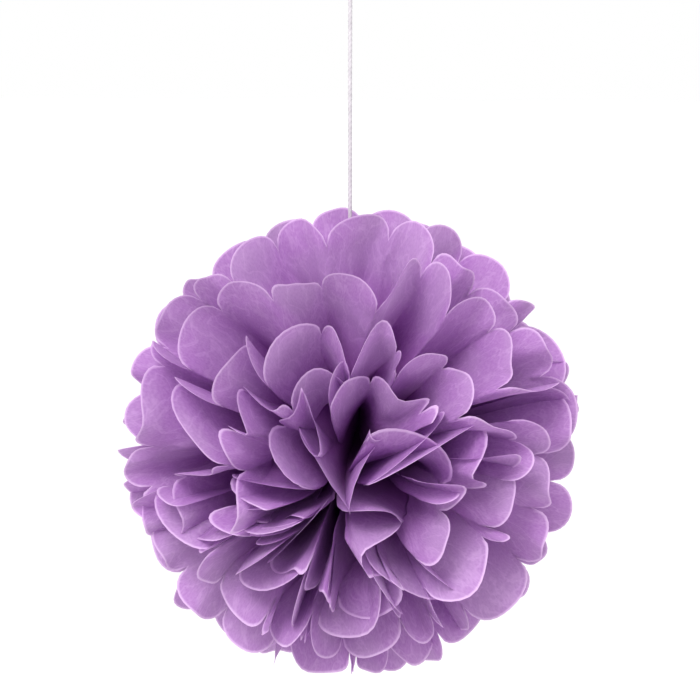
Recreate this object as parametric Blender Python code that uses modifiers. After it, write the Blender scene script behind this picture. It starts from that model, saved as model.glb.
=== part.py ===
"""Tissue paper pom pom: ten pleated sheets tied across the middle and fanned out into a ball.

The ball hangs on a cord. +Z is up, the pole of the ball faces -Y, and the origin is the top of the hanging
loop, where a hook would hold it. Inside the ball's own frame, x runs along the seam where the two halves
of each sheet meet, y runs across it and z is the pole axis, on which the sheets are stacked.
"""
import math
import random

import bmesh
import bpy
from mathutils import Matrix, Vector

# Paper
SHEETS_PER_SIDE = 5
PANELS = 14                     # pleats across one sheet, so twice as many petals round it
PANEL_WIDTH = 0.031
SHEET_LENGTH = 0.250            # from petal tip to petal tip, across the tie
SHEET_THICKNESS = 0.0004
SCALLOP_DEPTH = 0.014           # how far the notch between two petals is cut in
BODY_ANGLES = (9.0, 32.0, 55.0, 73.0, 92.0)     # degrees that each layer stands up at, from the middle out
CURL_ANGLES = (2.0, 7.0, 25.0, 45.0, 52.0)      # degrees that its petals have bent back by at their tips
CURL_START = 0.40               # where on the way to the tips they begin to bend back
RISE_LENGTH = 0.010             # how soon a sheet bends up once it leaves the tie
STATIONS = (0.0, 0.2, 0.62, 1.0)        # shares of the way to the tips at which the folds have corners
PLEAT_FADE = 1.0                # how the pleats deepen from the tie to the tips
AXIS_SHARE = 0.6                # how far in towards the pole axis a fold may come
TIP_SHARES = (0.992, 0.856, 0.688, 0.512, 0.320)        # how far each ring of tips is from the axis, in ball radii
WIDEST_OPENING = 0.95           # share of a panel's width that a ring may give it on average
EVENNESS = (6.0, 4.0, 2.0, 1.1, 0.7)    # of the openings in each ring, from panel to panel
FLATTEST = 0.98                 # share of a panel's width that its arc may reach
SHARED_EVENNESS = 30.0          # of the pleats near the tie, which all sheets share
PARTING_SHARES = (1.0, 1.0, 0.9, 0.5, 0.8)     # how far each layer's petals part from the shared pleats
LEAN_ANGLES = (5.0, 3.0, 0.0, 0.0, 0.0)       # degrees that single folds lean off their ring
CURL_SPREAD_ANGLES = (14.0, 12.0, 0.0, 0.0, 10.0)       # degrees that single petals bend more or less
LENGTH_SPREAD = 0.006           # how far single petals fall short
PAPER_SEED = 51

# Tie
CLEARANCE = 0.0003
BUNDLE_WIDTH = 0.009            # of the two middle sheets where they are pinched
WIRE_DIAMETER = 0.0009
TWIST_LENGTH = 0.012
TWIST_TURNS = 2.5
WIRE_LOOP_STEPS = 20
EDGE_MARGIN = 0.001             # how near the edge of the unit grid still counts as on it
SEAM_ANGLE = math.pi / PANELS   # of the seam above level, so that a fold stands straight up

# Cord
CORD_DIAMETER = 0.0022
CORD_SHOWN = 0.127              # from the top of the ball to the knot
LOOP_WIDTH = 0.013
LOOP_HEIGHT = 0.022
KNOT_WIDTH = 0.0062
KNOT_HEIGHT = 0.0066

# Places that follow from the sizes above
BALL_RADIUS = SHEET_LENGTH / 2
WIRE_RADIUS = WIRE_DIAMETER / 2
CORD_RADIUS = CORD_DIAMETER / 2
SHEET_STEP = SHEET_THICKNESS + CLEARANCE
MIDDLE_STEP = SHEET_THICKNESS + 2 * CLEARANCE + CORD_DIAMETER
STRAND_RADIUS = WIRE_RADIUS + CLEARANCE
NECK_HALF = STRAND_RADIUS + WIRE_RADIUS + 2 * CLEARANCE
BALL_CENTRE = Vector((0.0, 0.0, -(LOOP_HEIGHT + KNOT_HEIGHT + CORD_SHOWN + BALL_RADIUS)))
KNOT_CENTRE = Vector((0.0, 0.0, -(LOOP_HEIGHT + KNOT_HEIGHT / 2)))

TISSUE = (0.47, 0.23, 0.60, 1.0)
COTTON = (0.86, 0.85, 0.83, 1.0)
STEEL = (0.55, 0.55, 0.56, 1.0)


def clear_scene():
    for thing in list(bpy.data.objects):
        bpy.data.objects.remove(thing, do_unlink=True)


def make_material(name, colour, roughness, metallic=0.0):
    material = bpy.data.materials.new(name)
    material.use_nodes = True
    shader = material.node_tree.nodes["Principled BSDF"]
    shader.inputs["Base Color"].default_value = colour
    shader.inputs["Roughness"].default_value = roughness
    shader.inputs["Metallic"].default_value = metallic
    return material


def add_object(name, data, material, collection, parent=None):
    thing = bpy.data.objects.new(name, data)
    data.materials.append(material)
    collection.objects.link(thing)
    thing.parent = parent
    return thing


def fold_turns(chance, opening, evenness):
    """Where the folds stand round the tie. Opened by hand, some pleats are wide and their neighbours stay shut."""
    opened = [chance.betavariate(evenness * opening, evenness * (1 - opening)) for _ in range(PANELS)]
    for _ in range(12):
        fix = opening * PANELS / sum(opened)
        opened = [min(1.0, max(0.03, fix * one)) for one in opened]
    turns = [0.0]
    for one in opened:
        turns.append(turns[-1] + one)
    return [math.pi * (turn / turns[-1] - 0.5) for turn in turns]


def plan_half(number, half, layer):
    """What chance gave this half sheet: where its folds stand, and how its petals lean, curl and fall short."""
    chance = random.Random(PAPER_SEED + 10 * number + half)
    opening = TIP_SHARES[layer] * BALL_RADIUS * math.pi / (PANELS * PANEL_WIDTH)
    plan = {"turn": fold_turns(chance, min(WIDEST_OPENING, opening), EVENNESS[layer])}
    for label, count in (("lean", PANELS + 1), ("curl", 2 * PANELS + 1), ("sway", PANELS + 1), ("short", PANELS)):
        plan[label] = [chance.gauss(0, 1) for _ in range(count)]
    return plan


def pinch(layer):
    """How high above the middle plane a layer is pinched, half the width it is pinched to, and where it bends up.

    Each layer further out is narrower and bends up sooner, so that neighbours stay apart where they rise.
    """
    height = MIDDLE_STEP / 2 + layer * SHEET_STEP
    half_width = BUNDLE_WIDTH / 2 - layer * SHEET_STEP
    neck = NECK_HALF + (SHEETS_PER_SIDE - 1 - layer) * SHEET_STEP
    return height, half_width, neck


def ease(share):
    share = min(1.0, max(0.0, share))
    return share * share * (3 - 2 * share)


def slope_at(distance, body, curl):
    bend = max(0.0, distance / BALL_RADIUS - CURL_START) / (1 - CURL_START)
    return body * (1 - math.exp(-distance / RISE_LENGTH)) - curl * bend ** 1.5


def profile(distance, body, curl):
    """How far out and how high the middle of the pleats is once the paper has run this distance."""
    steps = 40
    out = up = 0.0
    for step in range(steps):
        slope = slope_at((step + 0.5) / steps * distance, body, curl)
        out += math.cos(slope) * distance / steps
        up += math.sin(slope) * distance / steps
    return out, up


def fold_depths(turns, out, share):
    """Half the depth of the pleats at each fold: what their panels' width leaves when the ring is shorter."""
    depths = []
    for first, second in zip(turns, turns[1:]):
        arc = min((second - first) * out, FLATTEST * PANEL_WIDTH)
        depths.append(math.sqrt(PANEL_WIDTH ** 2 - arc ** 2) / 2 * share ** PLEAT_FADE)
    return [(a + b) / 2 for a, b in zip([depths[0], *depths], [*depths, depths[-1]])]


def sheet_point(place, distance, layer, common, plan):
    """A point of a half sheet: place counts panels across it, and distance runs from the tie to the tips."""
    height, half_width, neck = pinch(layer)
    fold = min(PANELS - 1, int(place))
    beside = place - fold
    share = distance / BALL_RADIUS
    lean = plan["lean"][fold] * (1 - beside) + plan["lean"][fold + 1] * beside
    if layer == 0:
        lean = abs(lean)
    body = math.radians(BODY_ANGLES[layer] + LEAN_ANGLES[layer] * lean)
    curl = math.radians(CURL_ANGLES[layer] + CURL_SPREAD_ANGLES[layer] * plan["curl"][round(2 * place)])
    slope = slope_at(distance, body, curl)
    out, up = profile(distance, body, curl)
    parting = PARTING_SHARES[layer] * ease((share - 0.15) / 0.7)
    turns = [a * (1 - parting) + b * parting for a, b in zip(common, plan["turn"])]
    turn = turns[fold] * (1 - beside) + turns[fold + 1] * beside
    depths = fold_depths(turns, out, share)
    depth = depths[fold] * (1 - beside) + depths[fold + 1] * beside
    zigzag = (1 - 2 * beside) * (1 if fold % 2 == 0 else -1)
    offset = zigzag * min(depth, up, AXIS_SHARE * out)
    out -= offset * math.sin(slope)
    up += offset * math.cos(slope)
    across = place / PANELS * 2 - 1
    return Vector((across * half_width + out * math.sin(turn), neck + out * math.cos(turn), height + up))


def make_sheet(name, number, layer, pole, commons, material, collection, parent):
    """A grid over the flat sheet, moved to where the pleated and fanned paper lies, then given its thickness."""
    rows = 2 * len(STATIONS) - 1
    plans = [plan_half(number, half, layer) for half in range(2)]
    mesh = bpy.data.meshes.new(name)
    bm = bmesh.new()
    bmesh.ops.create_grid(bm, x_segments=2 * PANELS, y_segments=rows, size=1)
    ends = [e for e in bm.edges if all(abs(v.co.y) > 1 - EDGE_MARGIN for v in e.verts)]
    bmesh.ops.subdivide_edges(bm, edges=ends, cuts=1, use_single_edge=True)
    for vert in bm.verts:
        place = (vert.co.x + 1) / 2 * PANELS
        half = 0 if vert.co.y > 0 else 1
        row = round((vert.co.y + 1) / 2 * rows)
        station = row - len(STATIONS) if half == 0 else len(STATIONS) - 1 - row
        distance = STATIONS[station] * BALL_RADIUS
        if STATIONS[station] == 1.0:
            off_middle = abs(2 * (place % 1) - 1)
            short = abs(plans[half]["short"][min(PANELS - 1, int(place))]) * LENGTH_SPREAD / 2
            distance -= SCALLOP_DEPTH * (1 - math.sqrt(max(0.0, 1 - off_middle ** 2))) + short * (1 - off_middle)
        point = sheet_point(place, distance, layer, commons[half], plans[half])
        vert.co = (point.x, point.y if half == 0 else -point.y, pole * point.z)
    bmesh.ops.recalc_face_normals(bm, faces=bm.faces)
    bm.to_mesh(mesh)
    bm.free()
    sheet = add_object(name, mesh, material, collection, parent)
    solid = sheet.modifiers.new("Paper", "SOLIDIFY")
    solid.thickness = SHEET_THICKNESS
    solid.offset = 0.0
    solid.use_even_offset = False
    return sheet


def make_tube(name, points, radius, material, collection, parent=None):
    curve = bpy.data.curves.new(name, "CURVE")
    curve.dimensions = "3D"
    curve.bevel_depth = radius
    curve.bevel_resolution = 2
    curve.use_fill_caps = True
    spline = curve.splines.new("POLY")
    spline.points.add(len(points) - 1)
    for slot, point in zip(spline.points, points):
        slot.co = (*point, 1.0)
    return add_object(name, curve, material, collection, parent)


def smooth_path(points, steps):
    """A Catmull-Rom curve through the points, read off at steps places between each two."""
    ends = [2 * points[0] - points[1], *points, 2 * points[-1] - points[-2]]
    path = []
    for a, b, c, d in zip(ends, ends[1:], ends[2:], ends[3:]):
        for step in range(steps):
            t = step / steps
            path.append(0.5 * (2 * b + (c - a) * t + (2 * a - 5 * b + 4 * c - d) * t ** 2
                               + (3 * b - a - 3 * c + d) * t ** 3))
    path.append(points[-1])
    return path


def wire_loop_radius():
    corners = [math.hypot(half_width, height + SHEET_THICKNESS / 2)
               for height, half_width, neck in map(pinch, range(SHEETS_PER_SIDE))]
    return max(corners) + CLEARANCE + WIRE_RADIUS


def make_tie_wire(material, collection, parent):
    """One wire: a twisted end, once round the bundle, and the other twisted end."""
    radius = wire_loop_radius()
    lead = math.asin(STRAND_RADIUS / radius)
    start = -radius * math.cos(lead)
    steps = round(8 * TWIST_TURNS)
    strand = []
    for step in range(1, steps + 1):
        share = step / steps
        phase = share * TWIST_TURNS * 2 * math.pi
        strand.append(Vector((start - share * TWIST_LENGTH,
                              STRAND_RADIUS * math.sin(phase), STRAND_RADIUS * math.cos(phase))))
    other = [Vector((p.x, -p.y, -p.z)) for p in strand]
    loop = []
    for step in range(WIRE_LOOP_STEPS + 1):
        turn = math.pi - lead - step / WIRE_LOOP_STEPS * (2 * math.pi - 2 * lead)
        loop.append(Vector((radius * math.cos(turn), 0, radius * math.sin(turn))))
    return make_tube("tie_wire", [*reversed(strand), *loop, *other], WIRE_RADIUS, material, collection, parent)


def make_hitch(centre, material, collection, parent):
    """The turn of cord tied round the side of the wire loop."""
    bpy.ops.mesh.primitive_torus_add(
        major_radius=WIRE_RADIUS + CLEARANCE + CORD_RADIUS, minor_radius=CORD_RADIUS,
        major_segments=20, minor_segments=10)
    hitch = bpy.context.object
    hitch.name = "cord_hitch"
    hitch.data.name = "cord_hitch"
    hitch.data.materials.append(material)
    hitch.data.shade_smooth()
    for owner in hitch.users_collection:
        owner.objects.unlink(hitch)
    collection.objects.link(hitch)
    hitch.parent = parent
    hitch.location = centre
    return hitch


def make_cord(start, material, collection):
    top = KNOT_CENTRE.z - KNOT_HEIGHT / 2 - CLEARANCE
    centre = BALL_CENTRE.z
    route = [start, Vector((0.0042, 0.0, centre + 0.0085)), Vector((0.0030, 0.0, centre + 0.0150)),
             Vector((0.0012, 0.0, centre + 0.0280)), Vector((0.0002, 0.0, centre + 0.0480)),
             Vector((0.0, 0.0, centre + 0.0750)), Vector((0.0, 0.0, centre + 0.1250)),
             Vector((0.0, 0.0, centre + 0.1900)), Vector((0.0, 0.0, top))]
    return make_tube("hang_cord", smooth_path(route, 5), CORD_RADIUS, material, collection)


def make_loop(material, collection):
    """A drop-shaped bight above the knot; its top is at the origin."""
    half = LOOP_WIDTH / 2 - CORD_RADIUS
    foot = KNOT_CENTRE.z + KNOT_HEIGHT / 2 + CLEARANCE
    bow = -CORD_RADIUS - half
    near = CORD_RADIUS + CLEARANCE
    left = [Vector((-near, 0.0, foot)), Vector((-0.55 * half - 0.3 * near, 0.0, foot * 0.72 + bow * 0.28)),
            Vector((-0.93 * half, 0.0, foot * 0.33 + bow * 0.67))]
    arch = [Vector((half * math.sin(turn), 0.0, bow + half * math.cos(turn)))
            for turn in [math.radians(a) for a in (-82, -55, -28, 0, 28, 55, 82)]]
    right = [Vector((-p.x, 0.0, p.z)) for p in reversed(left)]
    return make_tube("hang_loop", smooth_path([*left, *arch, *right], 3), CORD_RADIUS, material, collection)


def make_knot(material, collection):
    mesh = bpy.data.meshes.new("loop_knot")
    bm = bmesh.new()
    bmesh.ops.create_uvsphere(bm, u_segments=16, v_segments=10, radius=0.5)
    bmesh.ops.transform(bm, matrix=Matrix.Diagonal((KNOT_WIDTH, KNOT_WIDTH, KNOT_HEIGHT, 1)), verts=bm.verts)
    bm.to_mesh(mesh)
    bm.free()
    mesh.shade_smooth()
    knot = add_object("loop_knot", mesh, material, collection)
    knot.location = KNOT_CENTRE
    return knot


def main():
    clear_scene()
    collection = bpy.data.collections.new("Tissue paper pom pom")
    bpy.context.scene.collection.children.link(collection)
    tissue = make_material("Lavender tissue", TISSUE, 0.8)
    cotton = make_material("White cord", COTTON, 0.85)
    steel = make_material("Tie wire", STEEL, 0.35, 1.0)

    ball = bpy.data.objects.new("ball_frame", None)
    collection.objects.link(ball)
    ball.matrix_world = (Matrix.Translation(BALL_CENTRE) @ Matrix.Rotation(-SEAM_ANGLE, 4, "Y")
                         @ Matrix.Rotation(math.pi / 2, 4, "X"))

    shared = random.Random(PAPER_SEED)
    commons = [fold_turns(shared, 0.5, SHARED_EVENNESS) for _ in range(2)]
    for number in range(2 * SHEETS_PER_SIDE):
        front = number < SHEETS_PER_SIDE
        layer = SHEETS_PER_SIDE - 1 - number if front else number - SHEETS_PER_SIDE
        make_sheet(f"tissue_sheet_{number + 1:02d}", number, layer, 1 if front else -1, commons,
                   tissue, collection, ball)

    make_tie_wire(steel, collection, ball)
    hitch = make_hitch(Vector((wire_loop_radius(), 0, 0)), cotton, collection, ball)
    bpy.context.view_layer.update()
    start = hitch.matrix_world.translation + Vector((0, 0, WIRE_RADIUS + 2 * CLEARANCE + CORD_DIAMETER))
    make_cord(start, cotton, collection)
    make_loop(cotton, collection)
    make_knot(cotton, collection)


main()
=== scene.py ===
"""Looks of the tissue paper pom pom: pleated tissue sheets, twisted hanging cord, tie wire and studio.

All lengths are metres. The ball frame has x along the seam of the sheets, y across it and z along the pole
axis, which faces the camera side of the ball; to_world() carries it to the scene.
"""
import math
import random

import bpy
import numpy as np
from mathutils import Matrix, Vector


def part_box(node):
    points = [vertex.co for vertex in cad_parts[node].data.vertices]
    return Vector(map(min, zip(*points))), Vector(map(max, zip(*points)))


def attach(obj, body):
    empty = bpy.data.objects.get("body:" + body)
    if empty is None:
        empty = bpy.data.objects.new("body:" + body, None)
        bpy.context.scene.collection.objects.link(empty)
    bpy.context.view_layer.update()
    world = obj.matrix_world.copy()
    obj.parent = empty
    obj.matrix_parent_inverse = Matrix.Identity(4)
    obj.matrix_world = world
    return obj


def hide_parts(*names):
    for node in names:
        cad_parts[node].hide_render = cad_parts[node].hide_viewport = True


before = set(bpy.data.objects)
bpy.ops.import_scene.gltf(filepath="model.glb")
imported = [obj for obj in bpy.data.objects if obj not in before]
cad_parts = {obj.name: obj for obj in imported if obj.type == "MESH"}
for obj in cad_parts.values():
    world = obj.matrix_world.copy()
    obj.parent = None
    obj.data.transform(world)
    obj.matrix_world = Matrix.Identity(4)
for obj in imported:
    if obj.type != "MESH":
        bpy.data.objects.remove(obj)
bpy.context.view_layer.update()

# Sheets: layer 0 is next to the middle plane on each side, and each sheet is pleated into panels
LAYERS = 5
PANELS = 14
PANEL_WIDTH = 0.031
SHEET_LENGTH = 0.250
HALF_LENGTH = SHEET_LENGTH / 2
PAPER_SEED = 51

# Rounded ends of the panels, cut into a half sheet that may fall short of its full length
SCALLOP_DEPTH = 0.0140
SCALLOP_ROUNDNESS = 2.05
SCALLOP_START = 0.45
LENGTH_SPREAD = 0.006

# Slope above the middle plane and curl back to it, in degrees, layer by layer
BODY_ANGLES = (8.0, 32.0, 55.0, 73.0, 92.0)
LEAN_ANGLES = (6.0, 5.0, 4.0, 6.0, 8.0)
CURL_ANGLES = (4.0, 7.0, 25.0, 45.0, 52.0)
CURL_SPREAD_ANGLES = (14.0, 14.0, 14.0, 16.0, 20.0)
RISE_LENGTH = 0.010
CURL_START = 0.40

# How far from the pole axis the tips of each layer end, and how evenly its pleats are opened
TIP_SHARES = (0.992, 0.856, 0.688, 0.512, 0.320)
EVENNESS = (6.0, 4.0, 2.0, 1.1, 0.7)
SHARED_EVENNESS = 30.0
LEAST_OPENED = 0.03
OPENING_ROUNDS = 12
PARTING_START = 0.15
PARTING_LENGTH = 0.7

# Depth of the pleats: panels count as narrower near the tie, and never lie quite flat
NARROWEST = 0.35
FULL_WIDTH_PART = 0.55
FLATTEST = 0.15
PLEAT_START = 0.012
DEPTH_SPREAD = 0.12
FOLD_SOFTNESS = 0.25
FOLD_SOFTNESS_GAIN = 0.35
AXIS_SHARE = 0.56
LEAST_SLOPE = 0.2
PLANE_ROOM = 0.0002

# Sideways sway of each layer's petals, their cup, the wave of the middle sheets and the fine ripples
SWAYS = (0.003, 0.004, 0.005, 0.006, 0.008)
CUP = 0.0045
MIDDLE_WAVE = 0.008
RIPPLE = 0.0008
RIPPLE_START = 0.3
RIPPLE_CELLS_OUT = 14
RIPPLE_CELLS_PER_PANEL = 5

# Room for the cord between the two middle sheets: its place and reach in panels, then radians and metres
CORD_PLACE = 8.5
CORD_SPREAD = 1.2
CORD_TURN = 0.09
CORD_ROOM = 0.008

# Seam where the end panels of the two halves meet: one passes over the other, and both are nearly flat
SEAM_OVERLAP = 0.10
SEAM_OVERLAP_PART = 0.2
SEAM_LEAN = 5.0
SEAM_PANELS = 1.3
SEAM_FLATNESS = 0.75
SEAM_CLOSE = 0.006

# How much of the gap between the middle sheets closes past the tie, and how far out it has closed
CLOSED_SHARE = 0.85
CLOSED_BY_CORD = 0.10
CLOSED_BELOW = 0.03

# Pinch at the tie, as the solids have it
CLEARANCE = 0.0003
PAPER_SOLID = 0.0004
CORD_DIAMETER = 0.0022
BUNDLE_WIDTH = 0.009
LAYER_STEP = PAPER_SOLID + CLEARANCE
MIDDLE_STEP = PAPER_SOLID + 2 * CLEARANCE + CORD_DIAMETER
NECK = 0.0018
BALL_CENTRE = Vector((0.0, 0.0, -0.2806))
SEAM_ANGLE = math.pi / PANELS

# Cord, on the route that the solids have. CORD_RISE is how far sideways and over the ball's centre it goes.
WIRE_RADIUS = 0.00045
CORD_RADIUS = CORD_DIAMETER / 2
HITCH_CENTRE = sum((Vector(corner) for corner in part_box("cord_hitch")), Vector()) / 2
HITCH_RADIUS = WIRE_RADIUS + CLEARANCE + CORD_RADIUS
CORD_START = HITCH_CENTRE + Vector((0, 0, WIRE_RADIUS + 2 * CLEARANCE + CORD_DIAMETER))
CORD_RISE = ((0.0042, 0.0085), (0.0030, 0.0150), (0.0012, 0.0280), (0.0002, 0.0480), (0, 0.0750), (0, 0.1250),
             (0, 0.1900))
LOOP_HALF_WIDTH = 0.0065 - CORD_RADIUS
KNOT_CENTRE = Vector((0.0, 0.0, -0.0253))
KNOT_HALF = 0.0033
KNOT_TURNS = 2.5
HITCH_TURNS = 1.1
STRANDS = 3
STRAND_LAY = 0.0085
STRAND_GROOVE = 0.20

# Colours, linear
OUTER = (0.54, 0.30, 0.62)
# Painted shade: the darker, deeper purple the paper turns near the tie, in place of the shade in the ball's
# hollows
INNER_PAINTED_SHADE = (0.40, 0.04, 0.48)
MOTTLE = (0.50, 0.25, 0.59)
FADED = (0.57, 0.40, 0.63)
# Pale colour for the fibres and crease lines, and the painted highlight along the cut edges of the petals
PALE_MARK_AND_RIM_HIGHLIGHT = (0.86, 0.66, 0.90)
THROUGH = (0.95, 0.88, 0.96)
COTTON_PALE = (0.66, 0.63, 0.66)
COTTON_DULL = (0.50, 0.47, 0.50)
STEEL_BRIGHT = (0.62, 0.62, 0.63)
STEEL_DULL = (0.36, 0.35, 0.34)

# Paper look: noise cells to a metre, the painted highlight along the cut edge, the painted shade that darkens
# the paper towards the tie in place of the shade in the hollows, and the light let through
CLOUD_CELLS = 70.0
PATCH_CELLS = 24.0
FIBRE_CELLS = 1500.0
CRINKLE_CELLS = 130.0
RIM_REACH = 0.020
# Painted highlight along the cut edge: the span of the rim field it fades over, and its strength
RIM_HIGHLIGHT_FADE = (0.035, 0.100)
RIM_HIGHLIGHT_STRENGTH = 0.85
# Painted shade towards the tie: the span of the reach field it fades over, and how much less of it the
# outermost layer gets
PAINTED_SHADE_REACH = (0.30, 0.92)
OUTSIDE_LESS_PAINTED_SHADE = 0.16
# How much thinner and weaker the painted edge highlight is on the outermost layer
OUTSIDE_THINNER_RIM_HIGHLIGHT = 0.028
THROUGH_SHARE = 0.17
LIT_THROUGH = 0.40

# Mesh fineness
PANEL_STEPS = 14
ROWS = 34
ROUND_STEPS = 18
ROPE_SPACING = 0.0006

# Camera and stage
LENS = 85.0
CAMERA_AZIMUTH = 3.5
CAMERA_ELEVATION = 15.0
VIEW_WIDTH = 0.381
VIEW_RISE = 0.052
FLOOR_DROP = 1.5
FLOOR_HALF = 15.0
FLOOR_GLOW = 0.14
KEY_PLACE = (-0.4, -1.2, 1.1)
KEY_SIZE = 0.8
KEY_POWER = 22


def smooth_step(t):
    t = np.clip(t, 0.0, 1.0)
    return t * t * (3 - 2 * t)


def to_world(points):
    """Ball frame to scene: the pole axis becomes -Y, and the seam rises to the right by SEAM_ANGLE."""
    x, y, z = points[..., 0], points[..., 1], points[..., 2]
    c, s = math.cos(SEAM_ANGLE), math.sin(SEAM_ANGLE)
    world = np.stack([c * x - s * y, -z, s * x + c * y], axis=-1)
    return world + np.array(BALL_CENTRE)


def spread(values, where):
    """Values given at whole numbers, read smoothly at the places in where."""
    low = np.clip(np.floor(where).astype(int), 0, len(values) - 2)
    t = smooth_step(where - low)
    return values[low] * (1 - t) + values[low + 1] * t


def ripples(rng, rows, columns, cells_down, cells_across):
    """Smooth random waves over a rows x columns field, about -1 to 1."""
    grid = rng.uniform(-1, 1, (cells_down + 2, cells_across + 2))
    down = np.linspace(0, cells_down, rows)
    across = np.linspace(0, cells_across, columns)
    i = np.floor(down).astype(int)
    j = np.floor(across).astype(int)
    ti = smooth_step(down - i)[:, None]
    tj = smooth_step(across - j)[None, :]
    top = grid[i][:, j] * (1 - tj) + grid[i][:, j + 1] * tj
    low = grid[i + 1][:, j] * (1 - tj) + grid[i + 1][:, j + 1] * tj
    return top * (1 - ti) + low * ti


def across_places():
    """Places across a half sheet in panels, closer together near the folds."""
    even = np.arange(PANEL_STEPS) / PANEL_STEPS
    inside = 0.5 * even + 0.5 * (0.5 - 0.5 * np.cos(np.pi * even))
    places = (np.arange(PANELS)[:, None] + inside[None, :]).ravel()
    return np.append(places, float(PANELS))


def fold_turns(chance, opening, evenness):
    """Where the folds stand round the tie, in radians from the middle of the half. Opened by hand, some
    pleats are wide and their neighbours stay shut.
    """
    opened = [chance.betavariate(evenness * opening, evenness * (1 - opening)) for _ in range(PANELS)]
    for _ in range(OPENING_ROUNDS):
        fix = opening * PANELS / sum(opened)
        opened = [min(1.0, max(LEAST_OPENED, fix * one)) for one in opened]
    turns = [0.0]
    for one in opened:
        turns.append(turns[-1] + one)
    return np.array([math.pi * (turn / turns[-1] - 0.5) for turn in turns])


def plan_half(number, half, layer):
    """What chance gave this half sheet: where its folds stand, how its petals lean, curl, sway, fall short
    and cup, and how deep its pleats are.
    """
    chance = random.Random(PAPER_SEED + 10 * number + half)
    opening = TIP_SHARES[layer] * HALF_LENGTH * math.pi / (PANELS * PANEL_WIDTH)
    plan = {"turn": fold_turns(chance, opening, EVENNESS[layer])}
    counts = {"lean": PANELS + 1, "curl": 2 * PANELS + 1, "sway": PANELS + 1, "short": PANELS, "cup": PANELS,
              "depth": PANELS + 1}
    for label, count in counts.items():
        plan[label] = np.array([chance.gauss(0, 1) for _ in range(count)])
    plan["sway"][[0, -1]] = 0.0
    plan["ripples"] = np.random.RandomState(PAPER_SEED + 10 * number + half)
    return plan


def petal_rows(plan, u, f, before_cord):
    """How far from the tie each row lies on the flat sheet, and where each column is cut. Rows follow the
    scallops more and more towards the tips.
    """
    share = np.linspace(0, 1, ROWS + 1)[:, None]
    short = spread(np.abs(plan["short"]), u - 0.5) * LENGTH_SPREAD / 2 * (1 - before_cord)
    round_off = 1 - (1 - np.abs(2 * f - 1) ** SCALLOP_ROUNDNESS) ** (1 / SCALLOP_ROUNDNESS)
    tip = HALF_LENGTH - SCALLOP_DEPTH * round_off - short
    follow = np.clip((share - SCALLOP_START) / (1 - SCALLOP_START), 0, 1) ** 2
    distance = share * (HALF_LENGTH - (HALF_LENGTH - tip)[None, :] * follow)
    return distance, tip


def sheet_slope(plan, layer, pole, half, u, distance, before_cord):
    """Slope of the sheet above the middle plane, in radians: up from the tie, curling back further out."""
    lean = np.abs(plan["lean"]) if layer == 0 else plan["lean"]
    body = math.radians(BODY_ANGLES[layer]) + np.radians(LEAN_ANGLES[layer]) * spread(lean, u)
    body -= math.radians(BODY_ANGLES[0] - 1) * before_cord * (pole > 0)
    body += math.radians(SEAM_LEAN) * (1 if half else -1) * np.abs(u / PANELS * 2 - 1) ** 8
    curl = math.radians(CURL_ANGLES[layer])
    curl = curl + np.radians(CURL_SPREAD_ANGLES[layer]) * spread(plan["curl"], 2 * u)
    rise = 1 - np.exp(-distance / RISE_LENGTH)
    bend = np.clip((distance / HALF_LENGTH - CURL_START) / (1 - CURL_START), 0, 1) ** 1.5
    return body * rise - curl * bend


def swept(distance, slope):
    """The sheet's radius round the tie and its height over the middle plane, summed along its slope."""
    step = np.diff(distance, axis=0)
    middle = (slope[1:] + slope[:-1]) / 2
    zero = np.zeros((1, distance.shape[1]))
    radius = np.concatenate([zero, np.cumsum(step * np.cos(middle), axis=0)])
    height = np.concatenate([zero, np.cumsum(step * np.sin(middle), axis=0)])
    return radius, height


def row_folds(common, plan, pole, part, by_cord):
    """Where the folds of each row stand round the tie: shared by all sheets near it, then their own."""
    along = part.mean(axis=1)
    parting = smooth_step((along - PARTING_START) / PARTING_LENGTH)[:, None]
    turns = common * (1 - parting) + plan["turn"] * parting
    turns -= CORD_TURN * by_cord * (pole > 0) * parting * np.cos(turns)
    return turns * (1 + SEAM_OVERLAP * smooth_step(along / SEAM_OVERLAP_PART)[:, None])


def pleat_depth(turns, radius, distance, fold, f):
    """How deep the zigzag is from fold to fold: what a panel's width leaves over once it spans its arc."""
    arc = np.diff(turns, axis=1) * radius[:, ::PANEL_STEPS][:, :PANELS]
    part = distance[:, ::PANEL_STEPS][:, :PANELS] / HALF_LENGTH
    width = PANEL_WIDTH * (NARROWEST + (1 - NARROWEST) * smooth_step(part / FULL_WIDTH_PART))
    panel_depth = np.sqrt(np.clip(width ** 2 - arc ** 2, (FLATTEST * width) ** 2, None))
    beside = np.pad(panel_depth, ((0, 0), (1, 1)), mode="edge")
    fold_depth = (beside[:, 1:] + beside[:, :-1]) / 2
    depth = fold_depth[:, fold] * (1 - f) + fold_depth[:, fold + 1] * f
    return depth * np.clip(distance / PLEAT_START, 0, 1)


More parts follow.
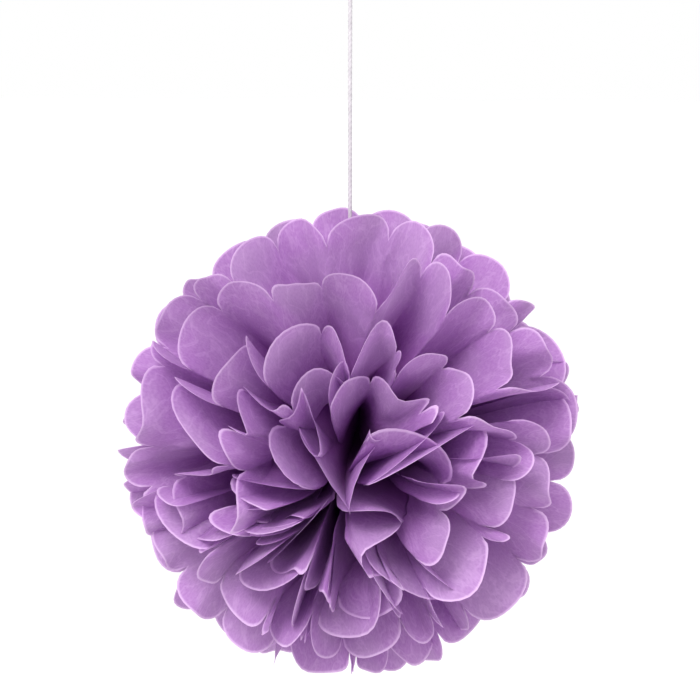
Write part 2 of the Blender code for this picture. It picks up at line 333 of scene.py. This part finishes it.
def pleated(plan, depth, radius, height, slope, part, u, at_seam):
    """How far each point stands off the sheet's smooth surface: pleats, the cup of each petal, fine ripples.
    Pleats stop short of the pole axis and of the middle plane.
    """
    fold = np.minimum(u.astype(int), PANELS - 1)
    f = u - fold
    sign = np.where(fold % 2 == 0, 1.0, -1.0)
    full = depth * spread(1 + DEPTH_SPREAD * plan["depth"], u)
    soft = FOLD_SOFTNESS + FOLD_SOFTNESS_GAIN * part
    zigzag = sign * (1 - 2 * (f * (1 - soft) + smooth_step(f) * soft))
    inward = np.minimum(full / 2, AXIS_SHARE * radius / np.maximum(np.sin(slope), LEAST_SLOPE))
    offset = np.where(zigzag > 0, zigzag * inward, zigzag * (full - inward))
    cup = spread(plan["cup"], u - 0.5) * CUP + CUP / 3
    offset += cup * 4 * f * (1 - f) * part ** 2 * sign
    keep = np.minimum(1.0, (height + PLANE_ROOM) / np.maximum(np.abs(np.minimum(offset, 0)), 1e-6))
    offset = np.where(offset < 0, offset * keep, offset)
    offset *= 1 - SEAM_FLATNESS * at_seam
    fine = ripples(plan["ripples"], ROWS + 1, len(u), RIPPLE_CELLS_OUT, RIPPLE_CELLS_PER_PANEL * PANELS)
    return offset + RIPPLE * fine * smooth_step(part / RIPPLE_START)


def half_fan(common, plan, layer, pole, half, wave, by_cord):
    """One half of a sheet from the tie to the petal tips: its points in the ball frame, the same points on
    the flat sheet, and how far each is from the cut edge as a share of RIM_REACH.

    common is where the folds of all the sheets stand near the tie, and wave is how the two middle sheets rise
    and fall together. pole is 1 on the camera's side and -1 behind. by_cord is 1.0 for the two halves that
    the cord passes between, otherwise 0.0.
    """
    u = across_places()
    fold = np.minimum(u.astype(int), PANELS - 1)
    f = u - fold
    at_seam = smooth_step(1 - np.minimum(u, PANELS - u) / SEAM_PANELS)
    before_cord = np.exp(-((u - CORD_PLACE) / CORD_SPREAD) ** 2) * by_cord

    distance, tip = petal_rows(plan, u, f, before_cord)
    part = distance / HALF_LENGTH
    slope = sheet_slope(plan, layer, pole, half, u, distance, before_cord)
    radius, height = swept(distance, slope)
    turns = row_folds(common, plan, pole, part, by_cord)
    turn = turns[:, fold] * (1 - f) + turns[:, fold + 1] * f
    depth = pleat_depth(turns, radius, distance, fold, f)
    offset = pleated(plan, depth, radius, height, slope, part, u, at_seam)

    # Place in the ball frame, from the pinched bundle outwards
    half_height = MIDDLE_STEP / 2 + layer * LAYER_STEP
    half_width = BUNDLE_WIDTH / 2 - layer * LAYER_STEP
    neck = NECK + (LAYERS - 1 - layer) * LAYER_STEP
    out = radius - offset * np.sin(slope)
    up = half_height + height + offset * np.cos(slope)
    side = spread(plan["sway"], u) * SWAYS[layer] * part ** 3
    x = (u / PANELS * 2 - 1) * half_width + out * np.sin(turn) + side * np.cos(turn)
    y = neck + out * np.cos(turn) - side * np.sin(turn)
    y -= (neck + CLEARANCE) * at_seam * smooth_step(distance / SEAM_CLOSE)
    if layer == 0:
        closed_by = CLOSED_BY_CORD if by_cord else CLOSED_BELOW
        up -= half_height * CLOSED_SHARE * smooth_step(part / closed_by) * (1 - before_cord)
        waving = pole * MIDDLE_WAVE * spread(wave, u) * part ** 1.5 * (1 - before_cord)
        up += waving * (1 if half == 0 else -1)
    if by_cord:
        room = np.exp(-(x / CORD_ROOM) ** 4) * (CORD_RADIUS + CLEARANCE)
        up = np.maximum(up, room * (y > 0))
    points = np.stack([x, y, pole * up], axis=-1)

    steepness = np.gradient(tip, u * PANEL_WIDTH)
    rim = np.clip((tip - distance) / np.sqrt(1 + steepness ** 2) / RIM_REACH, 0, 1)
    flat = np.stack([np.broadcast_to(u * PANEL_WIDTH, distance.shape), distance], axis=-1)
    return points, flat, rim


def make_sheet(number, commons, waves, material):
    """A whole sheet: its two half fans and the neck between them, as one grid of faces."""
    front = number < LAYERS
    layer = LAYERS - 1 - number if front else number - LAYERS
    pole = 1 if front else -1
    halves = []
    for half in range(2):
        plan = plan_half(number, half, layer)
        by_cord = float(layer == 0 and half == 0)
        points, flat, rim = half_fan(commons[half], plan, layer, pole, half, waves[half], by_cord)
        if half:
            points = points * np.array([1, -1, 1])
            flat = flat * np.array([1, -1])
        halves.append((points, flat, rim))
    points, flat, rim = (np.concatenate([far[::-1], near]) for near, far in zip(*halves))
    rows, columns = rim.shape
    verts = to_world(points).reshape(-1, 3)
    index = np.arange(rows * columns).reshape(rows, columns)
    quads = np.stack([index[:-1, :-1], index[:-1, 1:], index[1:, 1:], index[1:, :-1]], axis=-1)
    name = f"tissue_{number + 1:02d}"
    mesh = bpy.data.meshes.new(name)
    mesh.from_pydata(verts.tolist(), [], quads.reshape(-1, 4).tolist())
    mesh.shade_smooth()
    outside = 1 - layer / (LAYERS - 1)
    # The rim field sets the painted highlight along the cut edge, thinner on the outermost layer
    fields = {"rim": rim + OUTSIDE_THINNER_RIM_HIGHLIGHT * outside,
              # The reach field sets the painted shade: dark near the tie, with less of it on the outermost
              # layer
              "reach": np.abs(flat[..., 1]) / HALF_LENGTH + OUTSIDE_LESS_PAINTED_SHADE * outside}
    for label, field in fields.items():
        attribute = mesh.attributes.new(label, "FLOAT", "POINT")
        attribute.data.foreach_set("value", field.astype(np.float32).ravel())
    corners = np.empty(len(mesh.loops), dtype=np.int32)
    mesh.loops.foreach_get("vertex_index", corners)
    layer_uv = mesh.uv_layers.new(name="flat")
    layer_uv.data.foreach_set("uv", flat.reshape(-1, 2)[corners].astype(np.float32).ravel())
    mesh.materials.append(material)
    sheet = bpy.data.objects.new(name, mesh)
    bpy.context.collection.objects.link(sheet)
    return sheet


def smooth_path(points, steps):
    """A Catmull-Rom curve through the points, read off at steps places between each two."""
    ends = [2 * points[0] - points[1], *points, 2 * points[-1] - points[-2]]
    path = []
    for a, b, c, d in zip(ends, ends[1:], ends[2:], ends[3:]):
        for step in range(steps):
            t = step / steps
            path.append(0.5 * (2 * b + (c - a) * t + (2 * a - 5 * b + 4 * c - d) * t ** 2
                               + (3 * b - a - 3 * c + d) * t ** 3))
    path.append(points[-1])
    return path


def even_path(path, spacing):
    """The same path with its points about spacing apart."""
    points = np.array(path)
    along = np.concatenate([[0], np.cumsum(np.linalg.norm(np.diff(points, axis=0), axis=1))])
    count = max(2, round(along[-1] / spacing) + 1)
    wanted = np.linspace(0, along[-1], count)
    return np.stack([np.interp(wanted, along, points[:, axis]) for axis in range(3)], axis=1), wanted


def make_rope(name, path, material):
    """Three strands laid round each other, swept along the path as one closed skin with rounded ends."""
    points, along = even_path(path, ROPE_SPACING)
    tangents = np.gradient(points, axis=0)
    tangents /= np.linalg.norm(tangents, axis=1)[:, None]
    normal = np.cross(tangents[0], (0.0, 1.0, 0.0))
    if np.linalg.norm(normal) < 0.1:
        normal = np.cross(tangents[0], (1.0, 0.0, 0.0))
    verts = []
    turn = np.arange(ROUND_STEPS) / ROUND_STEPS * 2 * math.pi
    for place, tangent, far in zip(points, tangents, along):
        normal = normal - tangent * np.dot(normal, tangent)
        normal /= np.linalg.norm(normal)
        sideways = np.cross(tangent, normal)
        lobes = np.abs(np.cos(STRANDS / 2 * (turn - 2 * math.pi * far / STRAND_LAY)))
        from_end = min(far, along[-1] - far) / CORD_RADIUS
        rounded = math.sqrt(1 - (1 - min(1.0, 0.12 + from_end)) ** 2)
        radius = CORD_RADIUS * (1 - STRAND_GROOVE + STRAND_GROOVE * lobes) * rounded
        round_about = np.cos(turn)[:, None] * normal + np.sin(turn)[:, None] * sideways
        verts.append(place + radius[:, None] * round_about)
    rows = len(verts)
    index = np.arange(rows * ROUND_STEPS).reshape(rows, ROUND_STEPS)
    beside = np.roll(index, -1, axis=1)
    faces = np.stack([index[:-1], beside[:-1], beside[1:], index[1:]], axis=-1).reshape(-1, 4).tolist()
    faces += [index[0][::-1].tolist(), index[-1].tolist()]
    mesh = bpy.data.meshes.new(name)
    mesh.from_pydata(np.concatenate(verts).tolist(), [], faces)
    mesh.shade_smooth()
    mesh.materials.append(material)
    rope = bpy.data.objects.new(name, mesh)
    bpy.context.collection.objects.link(rope)
    return rope


def loop_points():
    """From the knot up round the hanging loop and back down to the knot."""
    foot = KNOT_CENTRE.z + KNOT_HALF + CLEARANCE
    bow = -CORD_RADIUS - LOOP_HALF_WIDTH
    near = CORD_RADIUS + CLEARANCE
    half = LOOP_HALF_WIDTH
    left = [Vector((-near, 0, foot)),
            Vector((-0.55 * half - 0.3 * near, 0, foot * 0.72 + bow * 0.28)),
            Vector((-0.93 * half, 0, foot * 0.33 + bow * 0.67))]
    arch = [Vector((half * math.sin(turn), 0, bow + half * math.cos(turn)))
            for turn in map(math.radians, (-82, -55, -28, 0, 28, 55, 82))]
    right = [Vector((-p.x, 0, p.z)) for p in reversed(left)]
    return [*left, *arch, *right]


def cord_route():
    """The free cord: from its hitch on the tie wire, up out of the ball, through the knot, round the loop."""
    rise = [Vector((x, 0, BALL_CENTRE.z + up)) for x, up in CORD_RISE]
    below_knot = Vector((0, 0, KNOT_CENTRE.z - KNOT_HALF - CLEARANCE))
    end_in_knot = KNOT_CENTRE + Vector((0.0009, 0, -0.0005))
    return smooth_path([CORD_START, *rise, below_knot, *loop_points(), end_in_knot], 6)


def knot_route():
    """Two and a half turns drawn tight round the standing cord, with the ends tucked in."""
    points = []
    for step in range(41):
        share = step / 40
        turn = share * KNOT_TURNS * 2 * math.pi
        tuck = 1 - 0.45 * (2 * abs(share - 0.5)) ** 6
        radius = (KNOT_HALF - CORD_RADIUS * 0.95) * tuck
        lift = (share - 0.5) * 2 * (KNOT_HALF - CORD_RADIUS) + 0.0004 * math.sin(turn)
        points.append(KNOT_CENTRE + Vector((radius * math.cos(turn), radius * math.sin(turn), lift)))
    return smooth_path(points, 3)


def hitch_route():
    """One turn and an overlap round the side of the tie wire."""
    axis_along = Vector((-math.sin(SEAM_ANGLE), 0, math.cos(SEAM_ANGLE)))
    outward = Vector((math.cos(SEAM_ANGLE), 0, math.sin(SEAM_ANGLE)))
    points = []
    for step in range(33):
        turn = step / 32 * 2 * math.pi * HITCH_TURNS
        across = outward * math.cos(turn) + Vector((0, 1, 0)) * math.sin(turn)
        points.append(HITCH_CENTRE + across * HITCH_RADIUS + axis_along * (0.0004 * (step / 16 - 1)))
    return smooth_path(points, 2)


def add_cord():
    """The cord with its knot and hitch, attached to the root body in place of their solids."""
    cotton = cotton_material()
    route = cord_route()
    cord = make_rope("cord", route, cotton)
    knot = make_rope("cord_knot", knot_route(), cotton)
    hitch = make_rope("cord_tie", hitch_route(), cotton)
    stand_ins = ((cord, ("hang_cord", "hang_loop")), (knot, ("loop_knot",)), (hitch, ("cord_hitch",)))
    for piece, nodes in stand_ins:
        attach(piece, "root")
        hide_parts(*nodes)


def new_material(name):
    material = bpy.data.materials.new(name)
    material.use_nodes = True
    nodes = material.node_tree.nodes
    nodes.clear()
    output = nodes.new("ShaderNodeOutputMaterial")
    shader = nodes.new("ShaderNodeBsdfPrincipled")
    material.node_tree.links.new(shader.outputs["BSDF"], output.inputs["Surface"])
    return material, nodes, material.node_tree.links, shader


def noise(nodes, links, vector, scale, detail, distortion=0.0):
    texture = nodes.new("ShaderNodeTexNoise")
    texture.inputs["Scale"].default_value = scale
    texture.inputs["Detail"].default_value = detail
    texture.inputs["Distortion"].default_value = distortion
    links.new(vector, texture.inputs["Vector"])
    return texture.outputs["Fac"]


def mapped(nodes, links, value, low, high, to_low, to_high, smooth=False):
    node = nodes.new("ShaderNodeMapRange")
    if smooth:
        node.interpolation_type = "SMOOTHSTEP"
    for socket, number in zip(("From Min", "From Max", "To Min", "To Max"), (low, high, to_low, to_high)):
        node.inputs[socket].default_value = number
    links.new(value, node.inputs["Value"])
    return node.outputs["Result"]


def blended(nodes, links, factor, first, second):
    """Two colours mixed; each is either a colour or the socket that it comes from."""
    node = nodes.new("ShaderNodeMix")
    node.data_type = "RGBA"
    for index, colour in ((6, first), (7, second)):
        if isinstance(colour, tuple):
            node.inputs[index].default_value = (*colour, 1.0)
        else:
            links.new(colour, node.inputs[index])
    if isinstance(factor, float):
        node.inputs[0].default_value = factor
    else:
        links.new(factor, node.inputs[0])
    return node.outputs[2]


def stretched(nodes, links, vector, scale):
    node = nodes.new("ShaderNodeMapping")
    node.inputs["Scale"].default_value = scale
    links.new(vector, node.inputs["Vector"])
    return node.outputs["Vector"]


def ridged(nodes, links, value):
    """How far a noise is from its middle: near zero along thin winding lines."""
    centred = nodes.new("ShaderNodeMath")
    centred.operation = "SUBTRACT"
    centred.inputs[1].default_value = 0.5
    links.new(value, centred.inputs[0])
    folded = nodes.new("ShaderNodeMath")
    folded.operation = "ABSOLUTE"
    links.new(centred.outputs[0], folded.inputs[0])
    return folded.outputs[0]


def bumped(nodes, links, layers):
    """One bump on another; each layer is a height, its strength and its depth in metres."""
    normal = None
    for height, strength, depth in layers:
        node = nodes.new("ShaderNodeBump")
        node.inputs["Strength"].default_value = strength
        node.inputs["Distance"].default_value = depth
        links.new(height, node.inputs["Height"])
        if normal:
            links.new(normal, node.inputs["Normal"])
        normal = node.outputs["Normal"]
    return normal


def tissue_material():
    """Thin dyed paper: matt, lets light through, with mottling, fibres and soft creases, painted shade that
    darkens it towards the tie, and a painted highlight along the cut edge.
    """
    material, nodes, links, front = new_material("tissue")
    flat = nodes.new("ShaderNodeUVMap")
    flat.uv_map = "flat"
    place = flat.outputs["UV"]
    fields = {}
    for label in ("rim", "reach"):
        node = nodes.new("ShaderNodeAttribute")
        node.attribute_name = label
        fields[label] = node.outputs["Fac"]
    clouds = noise(nodes, links, place, CLOUD_CELLS, 4.0)
    patches = noise(nodes, links, place, PATCH_CELLS, 1.0)
    fibres = noise(nodes, links, stretched(nodes, links, place, (1.0, 0.35, 1.0)), FIBRE_CELLS, 2.0)
    crinkle = noise(nodes, links, stretched(nodes, links, place, (1.0, 0.45, 1.0)), CRINKLE_CELLS, 3.0, 0.8)
    mottled = mapped(nodes, links, clouds, 0.35, 0.65, 0.0, 0.5)
    faded = mapped(nodes, links, patches, 0.45, 0.65, 0.0, 0.5, True)
    fibred = mapped(nodes, links, fibres, 0.3, 0.7, 0.0, 0.22)
    creased = mapped(nodes, links, ridged(nodes, links, crinkle), 0.0, 0.04, 0.22, 0.0)
    dyed = blended(nodes, links, mottled, OUTER, MOTTLE)
    for share, colour in ((faded, FADED), (fibred, PALE_MARK_AND_RIM_HIGHLIGHT), (creased, PALE_MARK_AND_RIM_HIGHLIGHT)):
        dyed = blended(nodes, links, share, dyed, colour)
    # Painted shade: the paper colour turns to the dark painted shade colour towards the tie and on the inner
    # layers
    outwards = mapped(nodes, links, fields["reach"], *PAINTED_SHADE_REACH, 0.0, 1.0, True)
    # Painted highlight: a pale band along the cut edge, laid over the dye and the painted shade
    edge = mapped(nodes, links, fields["rim"], *RIM_HIGHLIGHT_FADE, RIM_HIGHLIGHT_STRENGTH, 0.0, True)
    base = blended(nodes, links, edge, blended(nodes, links, outwards, INNER_PAINTED_SHADE, dyed), PALE_MARK_AND_RIM_HIGHLIGHT)
    links.new(base, front.inputs["Base Color"])
    front.inputs["Roughness"].default_value = 0.72
    front.inputs["Specular IOR Level"].default_value = 0.1
    front.inputs["Sheen Weight"].default_value = 0.05
    front.inputs["Sheen Roughness"].default_value = 0.6
    through = nodes.new("ShaderNodeBsdfTranslucent")
    links.new(blended(nodes, links, THROUGH_SHARE, base, THROUGH), through.inputs["Color"])
    normal = bumped(nodes, links, ((crinkle, 0.6, 0.0015), (fibres, 0.3, 0.0001)))
    links.new(normal, front.inputs["Normal"])
    mix = nodes.new("ShaderNodeMixShader")
    mix.inputs["Fac"].default_value = LIT_THROUGH
    links.new(front.outputs["BSDF"], mix.inputs[1])
    links.new(through.outputs["BSDF"], mix.inputs[2])
    links.new(mix.outputs["Shader"], nodes["Material Output"].inputs["Surface"])
    return material


def cotton_material():
    material, nodes, links, shader = new_material("cotton cord")
    place = nodes.new("ShaderNodeTexCoord").outputs["Object"]
    fluff = noise(nodes, links, place, 2600.0, 3.0)
    wear = noise(nodes, links, place, 160.0, 2.0)
    shade = mapped(nodes, links, wear, 0.35, 0.65, 0.0, 0.5)
    links.new(blended(nodes, links, shade, COTTON_PALE, COTTON_DULL), shader.inputs["Base Color"])
    shader.inputs["Roughness"].default_value = 0.85
    shader.inputs["Sheen Weight"].default_value = 0.1
    links.new(bumped(nodes, links, ((fluff, 0.8, 0.0002),)), shader.inputs["Normal"])
    return material


def wire_material():
    material, nodes, links, shader = new_material("tie wire steel")
    place = nodes.new("ShaderNodeTexCoord").outputs["Object"]
    spots = noise(nodes, links, place, 900.0, 3.0)
    drawn = noise(nodes, links, stretched(nodes, links, place, (4000.0, 400.0, 4000.0)), 1.0, 2.0)
    shade = mapped(nodes, links, spots, 0.4, 0.7, 0.0, 0.6)
    links.new(blended(nodes, links, shade, STEEL_BRIGHT, STEEL_DULL), shader.inputs["Base Color"])
    links.new(mapped(nodes, links, spots, 0.3, 0.7, 0.25, 0.5), shader.inputs["Roughness"])
    shader.inputs["Metallic"].default_value = 1.0
    links.new(bumped(nodes, links, ((drawn, 0.3, 0.00005),)), shader.inputs["Normal"])
    return material


def add_camera():
    azimuth, elevation = math.radians(CAMERA_AZIMUTH), math.radians(CAMERA_ELEVATION)
    target = BALL_CENTRE + Vector((0, 0, VIEW_RISE))
    data = bpy.data.cameras.new("Camera")
    data.lens = LENS
    distance = VIEW_WIDTH * LENS / data.sensor_width
    away = Vector((math.sin(azimuth) * math.cos(elevation), -math.cos(azimuth) * math.cos(elevation),
                   math.sin(elevation)))
    camera = bpy.data.objects.new("Camera", data)
    camera.location = target + away * distance
    camera.rotation_euler = (-away).to_track_quat("-Z", "Y").to_euler()
    bpy.context.collection.objects.link(camera)
    bpy.context.scene.camera = camera


def add_light(name, place, size, power):
    data = bpy.data.lights.new(name, "AREA")
    data.shape = "DISK"
    data.size = size
    data.energy = power
    lamp = bpy.data.objects.new(name, data)
    lamp.location = Vector(place)
    lamp.rotation_euler = (BALL_CENTRE - lamp.location).to_track_quat("-Z", "Y").to_euler()
    bpy.context.collection.objects.link(lamp)


def add_stage():
    mesh = bpy.data.meshes.new("floor")
    z = BALL_CENTRE.z - FLOOR_DROP
    corners = [(x * FLOOR_HALF, y * FLOOR_HALF, z) for x, y in ((-1, -1), (1, -1), (1, 1), (-1, 1))]
    mesh.from_pydata(corners, [], [(0, 1, 2, 3)])
    floor = bpy.data.objects.new("floor", mesh)
    material = bpy.data.materials.new("floor")
    material.use_nodes = True
    surface = material.node_tree.nodes["Principled BSDF"]
    surface.inputs["Base Color"].default_value = (0.9, 0.9, 0.9, 1)
    surface.inputs["Roughness"].default_value = 0.9
    surface.inputs["Emission Color"].default_value = (1, 1, 1, 1)
    surface.inputs["Emission Strength"].default_value = FLOOR_GLOW
    mesh.materials.append(material)
    bpy.context.collection.objects.link(floor)
    world = bpy.data.worlds.new("World")
    world.use_nodes = True
    world.node_tree.nodes["Background"].inputs["Color"].default_value = (1, 1, 1, 1)
    world.node_tree.nodes["Background"].inputs["Strength"].default_value = 1.0
    bpy.context.scene.world = world
    bpy.context.scene.view_settings.view_transform = "Standard"
    bpy.context.scene.view_settings.gamma = 0.78


def main():
    add_camera()
    add_stage()
    add_light("key", KEY_PLACE, KEY_SIZE, KEY_POWER)
    add_cord()
    wire = wire_material()
    for slot in bpy.data.objects["tie_wire"].material_slots:
        slot.material = wire
    tissue = tissue_material()
    shared = random.Random(PAPER_SEED)
    commons = [fold_turns(shared, 0.5, SHARED_EVENNESS) for _ in range(2)]
    waves = [np.array([shared.gauss(0, 1) for _ in range(PANELS + 1)]) for _ in range(2)]
    for number in range(2 * LAYERS):
        sheet = make_sheet(number, commons, waves, tissue)
        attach(sheet, "root")
        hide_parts(f"tissue_sheet_{number + 1:02d}")


main()
